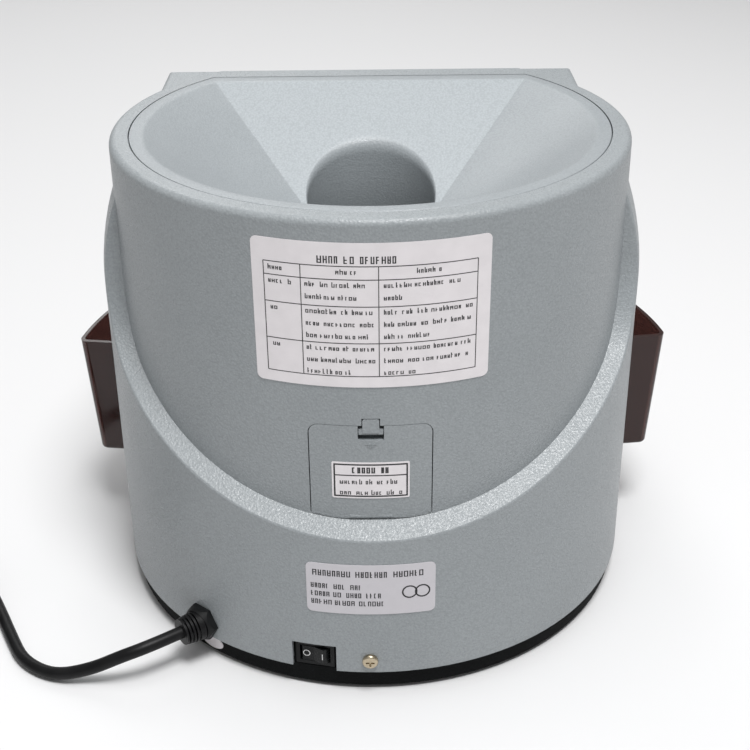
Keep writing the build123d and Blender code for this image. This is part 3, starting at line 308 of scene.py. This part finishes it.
# ---- shader helpers ------------------------------------------------------------------------
class Look:
    """A Principled material in object coordinates, with short calls for the nodes before it."""

    def __init__(self, name, colour, roughness, **sockets):
        self.material = bpy.data.materials.new(name)
        self.material.use_nodes = True
        self.tree = self.material.node_tree
        self.shader = self.tree.nodes["Principled BSDF"]
        self.shader.inputs["Base Color"].default_value = (*colour, 1)
        self.shader.inputs["Roughness"].default_value = roughness
        for socket, value in sockets.items():
            self.shader.inputs[socket.replace("_", " ")].default_value = value
        self.place = self.node("ShaderNodeTexCoord").outputs["Object"]
        self.normal = None

    def node(self, kind, **values):
        made = self.tree.nodes.new(kind)
        for key, value in values.items():
            setattr(made, key, value)
        return made

    def feed(self, socket, value):
        """Links an output to a socket, or sets a plain value on it."""
        if isinstance(value, bpy.types.NodeSocket):
            self.tree.links.new(value, socket)
        else:
            socket.default_value = value

    def stretched(self, x, y, z):
        """Object coordinates scaled along each axis."""
        scaled = self.node("ShaderNodeVectorMath", operation="MULTIPLY")
        self.feed(scaled.inputs[0], self.place)
        scaled.inputs[1].default_value = (x, y, z)
        return scaled.outputs[0]

    def noise(self, size_mm, detail=2.0, place=None):
        made = self.node("ShaderNodeTexNoise")
        self.feed(made.inputs["Vector"], place or self.place)
        made.inputs["Scale"].default_value = 1.0 / (size_mm * MM)
        made.inputs["Detail"].default_value = detail
        return made.outputs["Fac"]

    def cells(self, size_mm, smooth=0.6):
        made = self.node("ShaderNodeTexVoronoi", feature="SMOOTH_F1")
        self.feed(made.inputs["Vector"], self.place)
        made.inputs["Scale"].default_value = 1.0 / (size_mm * MM)
        made.inputs["Smoothness"].default_value = smooth
        return made.outputs["Distance"]

    def math(self, operation, a, b=0.0):
        made = self.node("ShaderNodeMath", operation=operation)
        self.feed(made.inputs[0], a)
        self.feed(made.inputs[1], b)
        return made.outputs[0]

    def ranged(self, value, low, high, to_low, to_high):
        """Maps a value from one range to another, held at both ends."""
        made = self.node("ShaderNodeMapRange")
        self.feed(made.inputs["Value"], value)
        ends = {"From Min": low, "From Max": high, "To Min": to_low, "To Max": to_high}
        for socket, number in ends.items():
            made.inputs[socket].default_value = number
        return made.outputs[0]

    def blend(self, share, a, b):
        """Colour between a and b."""
        made = self.node("ShaderNodeMix", data_type="RGBA")
        self.feed(made.inputs["Factor"], share)
        for socket, colour in ((made.inputs["A"], a), (made.inputs["B"], b)):
            self.feed(socket, colour if isinstance(colour, bpy.types.NodeSocket) else (*colour, 1))
        return made.outputs["Result"]

    def colour(self, value):
        self.feed(self.shader.inputs["Base Color"], value)

    def rough(self, value):
        self.feed(self.shader.inputs["Roughness"], value)

    def bump(self, height, depth_mm, strength=1.0):
        made = self.node("ShaderNodeBump")
        self.feed(made.inputs["Height"], height)
        made.inputs["Distance"].default_value = depth_mm * MM
        made.inputs["Strength"].default_value = strength
        if self.normal:
            self.feed(made.inputs["Normal"], self.normal)
        self.normal = made.outputs["Normal"]
        self.feed(self.shader.inputs["Normal"], self.normal)


def mixed(colour, toward, share):
    return tuple(c + (t - c) * share for c, t in zip(colour, toward))


# ---- materials -----------------------------------------------------------------------------
BLACK, WHITE = (0, 0, 0), (1, 1, 1)
CASE_GREY = (0.318, 0.343, 0.357)
HOPPER_GREY = (0.322, 0.348, 0.364)
# The photo shows the hopper's front slope lighter than its round flank, and its throat darker.
# Painted light: the hopper's colour is made lighter on faces that look along its front slope's
# normal.
SLOPE_PAINTED_LIGHT = 1.20
SLOPE_NORMAL = Vector((0, FRONT_SLOPE, 1)).normalized()
OFF_SLOPE, ON_SLOPE = 0.93, 0.985      # how squarely a face looks along the slope's normal
# Painted shade down the throat: between these heights the colour darkens towards the tint below, by
# the share given.
THROAT_DARK_Z, THROAT_LIGHT_Z = 184.0, 222.0
THROAT_SHADE, THROAT_PAINTED_SHADE_SHARE = (0, 0.02, 0.025), 0.38


def moulded(name, colour, grain_mm, depth_mm, rough, sparkle, slope_painted_light=1.0):
    """Textured moulding: pebbled grain with painted shade in its hollows, a faint drift of colour and
    small glossy spots; where asked, painted light on the hopper's front slope and painted shade down
    its throat.
    """
    look = Look(name, colour, rough, Specular_IOR_Level=0.5 if colour[0] > 0.1 else 0.1)
    drift = look.noise(55, 3)
    grain = look.cells(grain_mm)
    fine = look.noise(grain_mm * 0.6, 3)
    base = look.blend(look.ranged(drift, 0.3, 0.7, 0, 1), mixed(colour, BLACK, 0.04),
                      mixed(colour, WHITE, 0.05 * colour[0]))
    # Painted light on the front slope and painted shade down the throat, both put into the colour.
    if slope_painted_light > 1.0:
        facing = look.node("ShaderNodeVectorMath", operation="DOT_PRODUCT")
        look.feed(facing.inputs[0], look.node("ShaderNodeNewGeometry").outputs["True Normal"])
        facing.inputs[1].default_value = SLOPE_NORMAL
        height = look.node("ShaderNodeSeparateXYZ")
        look.feed(height.inputs[0], look.place)
        painted_slope_light = look.ranged(facing.outputs["Value"], OFF_SLOPE, ON_SLOPE, 0, 1)
        painted_throat_shade = look.ranged(height.outputs["Z"], THROAT_DARK_Z * MM, THROAT_LIGHT_Z * MM, 1, 0)
        base = look.blend(painted_slope_light, base, tuple(c * slope_painted_light for c in colour))
        base = look.blend(painted_throat_shade, base, mixed(colour, THROAT_SHADE, THROAT_PAINTED_SHADE_SHARE))
    # Painted shade in the grain's hollows: the colour is darker where the bump below sinks.
    painted_pit_shade = look.ranged(grain, 0.2, 0.7, 0.0, 0.3)
    look.colour(look.blend(painted_pit_shade, base, mixed(colour, BLACK, 0.4)))
    look.rough(look.ranged(fine, 0.35, 0.62, rough + 0.1, rough - sparkle))
    look.bump(look.math("SUBTRACT", fine, grain), depth_mm, 0.8)
    return look


def satin_black(name, colour, grain_mm, rough):
    """Black plastic or rubber with a fine grain and a faint haze."""
    look = Look(name, colour, rough, Specular_IOR_Level=0.2)
    haze = look.noise(18, 3)
    fine = look.noise(grain_mm, 3)
    look.colour(look.blend(look.ranged(haze, 0.35, 0.7, 0, 1), colour, mixed(colour, WHITE, 0.006)))
    look.rough(look.ranged(fine, 0.3, 0.7, rough - 0.06, rough + 0.1))
    look.bump(fine, 0.03, 0.4)
    return look


def brushed(name, colour, rough, along="z"):
    """Metal with fine lines drawn along one axis."""
    look = Look(name, colour, rough, Metallic=1.0)
    stretch = {"x": (0.04, 1, 1), "y": (1, 0.04, 1), "z": (1, 1, 0.04)}[along]
    lines = look.noise(0.35, 4, look.stretched(*stretch))
    cloud = look.noise(14, 3)
    look.colour(look.blend(look.ranged(cloud, 0.3, 0.7, 0, 1), mixed(colour, BLACK, 0.1), colour))
    look.rough(look.ranged(lines, 0.3, 0.7, rough - 0.07, rough + 0.12))
    look.bump(lines, 0.015, 0.35)
    return look


def turned(name, colour, rough):
    """Metal faced on a lathe round the drum's axis."""
    look = Look(name, colour, rough, Metallic=1.0)
    centred = look.node("ShaderNodeVectorMath", operation="SUBTRACT")
    look.feed(centred.inputs[0], look.place)
    centred.inputs[1].default_value = (AXIS_X, AXIS_Y, 0)
    rings = look.node("ShaderNodeTexWave", wave_type="RINGS", rings_direction="Z")
    look.feed(rings.inputs["Vector"], centred.outputs[0])
    rings.inputs["Scale"].default_value = 260
    rings.inputs["Distortion"].default_value = 0.6
    look.rough(look.ranged(rings.outputs["Fac"], 0, 1, rough - 0.06, rough + 0.1))
    look.bump(rings.outputs["Fac"], 0.01, 0.3)
    return look


def foil(name, colour):
    """Satin silver label stock, a little rumpled."""
    look = Look(name, colour, 0.42, Metallic=0.22)
    lines = look.noise(0.5, 3, look.stretched(0.12, 0.12, 1))
    rumple = look.noise(9, 2)
    look.rough(look.ranged(lines, 0.3, 0.7, 0.34, 0.5))
    look.colour(look.blend(look.ranged(rumple, 0.35, 0.65, 0, 1), mixed(colour, BLACK, 0.05), colour))
    look.bump(rumple, 0.12, 0.3)
    look.bump(lines, 0.01, 0.3)
    return look


def paper(name, colour):
    """Coated white label stock with a faint haze."""
    look = Look(name, colour, 0.38)
    haze = look.noise(6, 3)
    look.colour(look.blend(look.ranged(haze, 0.3, 0.7, 0, 1), mixed(colour, BLACK, 0.03), colour))
    look.bump(look.noise(0.4, 2), 0.01, 0.3)
    return look


def smoked(name, colour):
    """Clear smoked plastic with faint flow lines and handling haze."""
    look = Look(name, colour, 0.12, Transmission_Weight=0.7, IOR=1.49, Specular_IOR_Level=0.2)
    haze = look.noise(22, 4)
    look.rough(look.ranged(haze, 0.4, 0.75, 0.08, 0.26))
    look.bump(look.noise(9, 1, look.stretched(1, 1, 0.25)), 0.1, 0.15)
    return look


def circuit(name, colour):
    """Solder mask with the faint relief of its tracks."""
    look = Look(name, colour, 0.4)
    tracks = look.node("ShaderNodeTexBrick")
    look.feed(tracks.inputs["Vector"], look.place)
    tracks.inputs["Scale"].default_value = 260
    tracks.inputs["Mortar Size"].default_value = 0.03
    tracks.inputs["Color1"].default_value = (*mixed(colour, BLACK, 0.2), 1)
    tracks.inputs["Color2"].default_value = (*colour, 1)
    tracks.inputs["Mortar"].default_value = (*mixed(colour, (0.6, 0.8, 0.4), 0.25), 1)
    look.colour(tracks.outputs["Color"])
    look.bump(tracks.outputs["Fac"], 0.05, 0.4)
    return look


def soft_plastic(name, colour, rough):
    """Plain plastic that lets a little light in."""
    look = Look(name, colour, rough, Subsurface_Weight=0.05)
    haze = look.noise(25, 3)
    look.colour(look.blend(look.ranged(haze, 0.3, 0.7, 0, 1), mixed(colour, BLACK, 0.06), colour))
    look.bump(look.noise(0.6, 2), 0.02, 0.3)
    return look


LOOKS = {
    "case_grey": moulded("case_grey", CASE_GREY, 1.25, 0.2, 0.50, 0.24),
    "hopper_grey": moulded("hopper_grey", HOPPER_GREY, 1.1, 0.12, 0.48, 0.16, SLOPE_PAINTED_LIGHT),
    "base_black": moulded("base_black", (0.003, 0.0036, 0.004), 0.9, 0.1, 0.68, 0.06),
    "black_nylon": satin_black("black_nylon", (0.0045, 0.005, 0.0055), 0.5, 0.44),
    "black_gloss": satin_black("black_gloss", (0.004, 0.0045, 0.005), 1.2, 0.24),
    "black_pvc": satin_black("black_pvc", (0.004, 0.004, 0.0045), 0.8, 0.42),
    "rubber_black": satin_black("rubber_black", (0.014, 0.014, 0.014), 0.5, 0.7),
    "label_silver": foil("label_silver", (0.80, 0.765, 0.78)),
    "label_white": paper("label_white", (0.60, 0.582, 0.612)),
    "cup_smoke": smoked("cup_smoke", (0.086, 0.036, 0.031)),
    "overlay_dark": soft_plastic("overlay_dark", (0.022, 0.035, 0.065), 0.3),
    "window_clear": smoked("window_clear", (0.35, 0.40, 0.40)),
    "lcd": soft_plastic("lcd", (0.25, 0.30, 0.13), 0.3),
    "board_green": circuit("board_green", (0.015, 0.12, 0.05)),
    "key_light": soft_plastic("key_light", (0.52, 0.54, 0.55), 0.42),
    "steel_plate": brushed("steel_plate", (0.50, 0.50, 0.50), 0.32, "x"),
    "steel_ground": brushed("steel_ground", (0.47, 0.47, 0.47), 0.28, "z"),
    "aluminium_disc": turned("aluminium_disc", (0.60, 0.60, 0.61), 0.3),
    "aluminium_cast": brushed("aluminium_cast", (0.48, 0.48, 0.49), 0.45, "y"),
    "white_acetal": soft_plastic("white_acetal", (0.66, 0.66, 0.63), 0.4),
    "screw_nickel": brushed("screw_nickel", (0.55, 0.47, 0.34), 0.3, "x"),
    "transformer_core": brushed("transformer_core", (0.20, 0.13, 0.06), 0.5, "z"),
}


def printed(name, colour, rough, smoothest, roughest):
    """Ink whose gloss varies a little from place to place."""
    look = Look(name, colour, rough)
    look.rough(look.ranged(look.noise(1.5), 0.3, 0.7, smoothest, roughest))
    return look


INK = printed("ink", (0.012, 0.012, 0.014), 0.55, 0.45, 0.65)
WHITE_INK = printed("white_ink", (0.72, 0.72, 0.72), 0.5, 0.42, 0.6)


def dress(piece, look):
    piece.data.materials.clear()
    piece.data.materials.append(look.material)


for node, piece in NODES.items():
    dress(piece, LOOKS[SLOT_OF[node]])
dress(lead, LOOKS["black_pvc"])
dress(bowl, LOOKS["hopper_grey"])
for tie in ties:
    dress(tie, LOOKS["black_nylon"])


# ---- print on surfaces ---------------------------------------------------------------------
class Face:
    """A flat view of a node's surface: u to a reader's right, v up, millimetres from an origin."""

    REACH = 0.03            # metres over which the surface is looked for, on each side
    SUNK = 0.05             # how far print stands in the surface

    def __init__(self, node, origin, right, up):
        mesh = NODES[node].data
        self.tree = BVHTree.FromPolygons([v.co for v in mesh.vertices],
                                         [tuple(p.vertices) for p in mesh.polygons])
        self.body = BODY_OF[node]
        self.origin = origin
        self.right, self.up = Vector(right).normalized(), Vector(up).normalized()
        self.out = self.right.cross(self.up)

    def on(self, u, v, lift):
        """Point on the surface under (u, v), raised by lift."""
        above = self.origin + self.right * (u * MM) + self.up * (v * MM)
        hit = self.tree.ray_cast(above + self.out * self.REACH, -self.out, 2 * self.REACH)[0]
        if hit is None:
            hit = above
        return hit + self.out * (lift * MM)

    def ink(self, name, quads, look, thick=0.05, slot=None):
        """One mesh of thin raised quads, each four (u, v) corners, with closed sides."""
        points, faces = [], []
        for quad in quads:
            n = len(points)
            points += [self.on(u, v, thick) for u, v in quad]
            points += [self.on(u, v, -self.SUNK) for u, v in quad]
            faces += [(n, n + 1, n + 2, n + 3), (n + 7, n + 6, n + 5, n + 4)]
            faces += [(n + (i + 1) % 4, n + i, n + 4 + i, n + 4 + (i + 1) % 4) for i in range(4)]
        mesh = bpy.data.meshes.new(name)
        mesh.from_pydata(points, [], faces)
        mesh.validate()
        piece = bpy.data.objects.new(name, mesh)
        bpy.context.scene.collection.objects.link(piece)
        dress(piece, look)
        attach(piece, self.body)
        return piece


def bar(u0, v0, u1, v1, step=2.0):
    """Quads that fill an upright rectangle, cut across so that they follow a curved wall."""
    n = max(1, math.ceil((u1 - u0) / step))
    cuts = [u0 + (u1 - u0) * i / n for i in range(n + 1)]
    return [((a, v0), (b, v0), (b, v1), (a, v1)) for a, b in zip(cuts, cuts[1:])]


def frame_bars(u0, v0, u1, v1, w):
    """Outline of a rectangle, drawn inside it."""
    return (bar(u0, v0, u1, v0 + w) + bar(u0, v1 - w, u1, v1)
            + bar(u0, v0 + w, u0 + w, v1 - w) + bar(u1 - w, v0 + w, u1, v1 - w))


RING_SIDES = 32


def ring(u, v, radius, w):
    quads = []
    for i in range(RING_SIDES):
        a, b = (2 * math.pi * k / RING_SIDES for k in (i, i + 1))
        corners = [(radius - w, a), (radius, a), (radius, b), (radius - w, b)]
        quads.append(tuple((u + r * math.cos(t), v + r * math.sin(t)) for r, t in corners))
    return quads


def arrow(u, v, size, up=1):
    """Solid triangle as two quads."""
    tip, middle = (u, v + up * size / 2), (u, v - up * size / 2)
    left, right = (u - size / 2, middle[1]), (u + size / 2, middle[1])
    quads = []
    for corner in (left, right):
        half = ((tip[0] + corner[0]) / 2, (tip[1] + corner[1]) / 2)
        if (corner is right) == (up > 0):
            quads.append((middle, corner, half, tip))
        else:
            quads.append((middle, tip, half, corner))
    return quads


def greek(rng, u0, u1, v, size, stroke, caps=False):
    """A line of unreadable print: words of short strokes, standing on height v."""
    quads, u = [], u0
    tall = size if caps else size * 0.68
    while u < u1 - size * 0.6:
        for _ in range(rng.randint(2, 8)):
            wide = size * rng.uniform(0.42, 0.62)
            if u + wide > u1:
                break
            rise = size if rng.random() < 0.22 else tall
            quads += bar(u, v, u + stroke, v + rise)
            if rng.random() < 0.75:
                quads += bar(u + wide - stroke, v, u + wide, v + tall)
            for share in rng.sample((0.0, 0.5, 1.0), rng.choice((1, 2, 2))):
                level = v + share * (tall - stroke * 0.8)
                quads += bar(u + stroke, level, u + wide - stroke, level + stroke * 0.8)
            u += wide + size * 0.18
        u += size * rng.uniform(0.35, 0.75)
    return quads


# ---- labels --------------------------------------------------------------------------------
REAR_RIGHT, UP = (-1, 0, 0), (0, 0, 1)


def rear_face(node):
    """Face of a rear label, with its origin at the reader's top left corner."""
    low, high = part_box(node)
    face = Face(node, Vector((high.x, high.y, high.z)), REAR_RIGHT, UP)
    return face, (high.x - low.x) / MM, (high.z - low.z) / MM


TABLE_LEFT, TABLE_RIGHT, TABLE_TOP, TABLE_BOTTOM = 0.051, 0.942, 0.155, 0.920
TABLE_COLUMNS = [0.0, 0.173, 0.536, 1.0]
TABLE_ROWS = [0.0, 0.117, 0.357, 0.692, 1.0]
# for each row and column, the share of the column's width that each line fills
TABLE_LINES = [
    [[(0.12, 0.56)], [(0.45, 0.76)], [(0.38, 0.64)]],
    [[(0.12, 0.80)], [(0.05, 0.90), (0.05, 0.78)], [(0.05, 0.83), (0.05, 0.26)]],
    [[(0.15, 0.36)], [(0.05, 0.95), (0.05, 0.95), (0.05, 0.88)],
     [(0.05, 0.97), (0.05, 0.95), (0.05, 0.55)]],
    [[(0.17, 0.42)], [(0.05, 0.95), (0.05, 0.95), (0.05, 0.72)],
     [(0.05, 0.97), (0.05, 0.94), (0.05, 0.38)]],
]
LINE_PITCH, LINE_SIZE, LINE_STROKE = 6.3, 2.6, 0.48
FIRST_LINE_DOWN, RULE_W = 4.0, 0.42
HEADING_SIZE, HEADING_STROKE = 3.6, 0.62


def error_print():
    """Greeked table of faults: a title, a heading row and three rows in three columns."""
    face, width, height = rear_face("error_label")
    rng = random.Random(7)
    left, right = TABLE_LEFT * width, TABLE_RIGHT * width
    top, bottom = -TABLE_TOP * height, -TABLE_BOTTOM * height
    us = [left + (right - left) * c for c in TABLE_COLUMNS]
    vs = [top + (bottom - top) * r for r in TABLE_ROWS]
    quads = []
    for v in vs:
        quads += bar(left, v - RULE_W / 2, right, v + RULE_W / 2)
    for u in us:
        quads += bar(u - RULE_W / 2, bottom, u + RULE_W / 2, top)
    quads += greek(rng, 0.275 * width, 0.625 * width, -0.137 * height, HEADING_SIZE, HEADING_STROKE,
                   caps=True)
    for row, cells in enumerate(TABLE_LINES):
        for column, lines in enumerate(cells):
            for i, (a, b) in enumerate(lines):
                span = us[column + 1] - us[column]
                base = vs[row] - FIRST_LINE_DOWN - i * LINE_PITCH
                quads += greek(rng, us[column] + a * span, us[column] + b * span, base,
                               LINE_SIZE, LINE_STROKE)
    face.ink("error_label_print", quads, INK)


NOTICE_MARGIN, NOTICE_FRAME_W, NOTICE_RULE_W = 0.9, 0.8, 0.6


def door_print():
    """Greeked notice: a thick frame, a heading and two lines."""
    face, width, height = rear_face("door_label")
    rng = random.Random(11)
    m, rule_v = NOTICE_MARGIN, -0.36 * height
    quads = frame_bars(m, -height + m, width - m, -m, NOTICE_FRAME_W)
    quads += bar(m, rule_v - NOTICE_RULE_W / 2, width - m, rule_v + NOTICE_RULE_W / 2)
    quads += greek(rng, 0.26 * width, 0.76 * width, -0.295 * height, 3.4, 0.75, caps=True)
    for down in (0.60, 0.90):
        quads += greek(rng, 0.1 * width, 0.92 * width, -down * height, 2.9, 0.5)
    face.ink("door_label_print", quads, INK)


def rating_print():
    """Greeked rating plate: a heading, three lines and a plain mark."""
    face, width, height = rear_face("rating_label")
    rng = random.Random(23)
    quads = greek(rng, 0.05 * width, 0.93 * width, -0.245 * height, HEADING_SIZE, HEADING_STROKE,
                  caps=True)
    for down, reach in ((0.50, 0.43), (0.665, 0.60), (0.83, 0.65)):
        quads += greek(rng, 0.035 * width, reach * width, -down * height, 3.0, 0.55, caps=True)
    for across in (0.80, 0.90):
        quads += ring(across * width, -0.56 * height, 4.0, 0.8)
    face.ink("rating_label_print", quads, INK)


error_print()
door_print()
rating_print()

# ---- switch marks and latch arrow ----------------------------------------------------------
SWITCH_AZ, SWITCH_R, SWITCH_Z = 12.6, 150.0, 21.6
RING_U, RING_R, RING_W = -4.6, 2.0, 0.45
BAR_LEFT, BAR_RIGHT, BAR_HALF_H = 4.2, 4.7, 1.9


def switch_marks():
    """White ring and bar on the two halves of the rocker."""
    right = Vector(UP).cross(out_at(SWITCH_AZ))
    face = Face("switch_rocker", polar(SWITCH_R, SWITCH_AZ, SWITCH_Z), right, UP)
    quads = ring(RING_U, 0, RING_R, RING_W) + bar(BAR_LEFT, -BAR_HALF_H, BAR_RIGHT, BAR_HALF_H)
    face.ink("rocker_marks", quads, WHITE_INK)


LATCH_X, ARROW_Y, ARROW_TOP_Z = 1.2, 141.0, 149.6
ARROW_HALF_WIDTHS, ARROW_BAR_H, ARROW_PITCH = (3.2, 2.1, 1.0), 0.5, 1.0
ARROW_PROUD = 0.25


def latch_arrow():
    """Faint moulded arrow under the latch pocket: three bars, each shorter than the one above."""
    face = Face("access_door", spot(LATCH_X, ARROW_Y, ARROW_TOP_Z), REAR_RIGHT, UP)
    quads = []
    for row, half in enumerate(ARROW_HALF_WIDTHS):
        top = -row * ARROW_PITCH
        quads += bar(-half, top - ARROW_BAR_H, half, top)
    face.ink("latch_arrow", quads, LOOKS["case_grey"], ARROW_PROUD, "case_grey")


switch_marks()
latch_arrow()

# ---- front panel ---------------------------------------------------------------------------
KEY_COUNT, KEY_PITCH = 5, 21.0
KEY_DOWN, OVERLAY_DOWN = 59.0, 42.0    # from the panel's top edge, down its slope
PANEL_TOP = (0.0, -102.0, 266.0)
PANEL_SLOPE = 1.6
OVERLAY_HALF_W, OVERLAY_HALF_H = 71.5, 27.5
WINDOW_HALF_W, WINDOW_LOW, WINDOW_HIGH = 40.4, -1.4, 27.0
BORDER_W = 0.5
KEY_RING_V, KEY_RING_R, KEY_RING_W = -17.0, 7.4, 0.45


def key_u(k):
    """How far right of the panel's middle a key stands."""
    return (k - (KEY_COUNT - 1) / 2) * KEY_PITCH


def panel_face(node, down):
    """Face on the sloping panel, with its origin in the middle, this far down the slope."""
    up = Vector((0, 1, PANEL_SLOPE)).normalized()
    return Face(node, spot(*PANEL_TOP) - up * (down * MM), (1, 0, 0), up)


def key_marks():
    """Plain symbols: up, down, bar, ring and square, one on each key."""
    shapes = [arrow(0, 0, 3.6), arrow(0, 0, 3.6, -1), bar(-2, -0.4, 2, 0.4), ring(0, 0, 2.1, 0.6),
              frame_bars(-1.9, -1.9, 1.9, 1.9, 0.6)]
    for k, quads in enumerate(shapes):
        shifted = [tuple((u + key_u(k), v) for u, v in quad) for quad in quads]
        panel_face(f"key_{k + 1}", KEY_DOWN).ink(f"key_{k + 1}_mark", shifted, INK)


def panel_print():
    """Border lines, a ring round each key, and greeked captions beside the display's window."""
    face = panel_face("control_overlay", OVERLAY_DOWN)
    rng = random.Random(31)
    quads = frame_bars(-OVERLAY_HALF_W, -OVERLAY_HALF_H, OVERLAY_HALF_W, OVERLAY_HALF_H, BORDER_W)
    quads += frame_bars(-WINDOW_HALF_W, WINDOW_LOW, WINDOW_HALF_W, WINDOW_HIGH, BORDER_W)
    for k in range(KEY_COUNT):
        quads += ring(key_u(k), KEY_RING_V, KEY_RING_R, KEY_RING_W)
    quads += greek(rng, -68, -46, 20, 2.6, 0.4) + greek(rng, 46, 68, 20, 2.6, 0.4)
    for i in range(4):
        quads += greek(rng, 46, 64, 14 - 4.6 * i, 1.8, 0.3)
    face.ink("overlay_print", quads, WHITE_INK)


key_marks()
panel_print()

# ---- floor and light -----------------------------------------------------------------------
# in metres, and in the shared frame
FLOOR_SIZE = 14.0
LIGHT_AIM = Vector((0, 0, 0.15))
SKY_STRENGTH = 0.30


def make_floor():
    mesh = bpy.data.meshes.new("floor")
    h = FLOOR_SIZE / 2
    mesh.from_pydata([(-h, -h, 0), (h, -h, 0), (h, h, 0), (-h, h, 0)], [], [(0, 1, 2, 3)])
    floor = bpy.data.objects.new("floor", mesh)
    bpy.context.scene.collection.objects.link(floor)
    look = Look("floor", (0.76, 0.76, 0.765), 0.75)
    look.bump(look.noise(30, 3), 0.05, 0.1)
    dress(floor, look)


def area_light(name, place, size, watts):
    """Round white light that faces the machine."""
    data = bpy.data.lights.new(name, "AREA")
    data.shape, data.size, data.energy = "DISK", size, watts
    light = bpy.data.objects.new(name, data)
    light.location = place
    light.rotation_mode = "QUATERNION"
    light.rotation_quaternion = (LIGHT_AIM - Vector(place)).to_track_quat("-Z", "Y")
    bpy.context.scene.collection.objects.link(light)


def make_light():
    """Broad key above the machine's rear, on the camera's right, with a pale sky and weak fills."""
    world = bpy.data.worlds.new("world")
    bpy.context.scene.world = world
    world.use_nodes = True
    sky = world.node_tree.nodes["Background"]
    sky.inputs["Color"].default_value = (*WHITE, 1)
    sky.inputs["Strength"].default_value = SKY_STRENGTH
    area_light("key", place=(-0.34, 0.84, 2.5), size=0.9, watts=58)
    area_light("front_fill", place=(0.5, -1.7, 1.5), size=1.3, watts=9)
    area_light("top_soft", place=(0.0, 0.0, 1.9), size=0.9, watts=7)


make_floor()
make_light()
bpy.context.scene.view_settings.view_transform = "Standard"
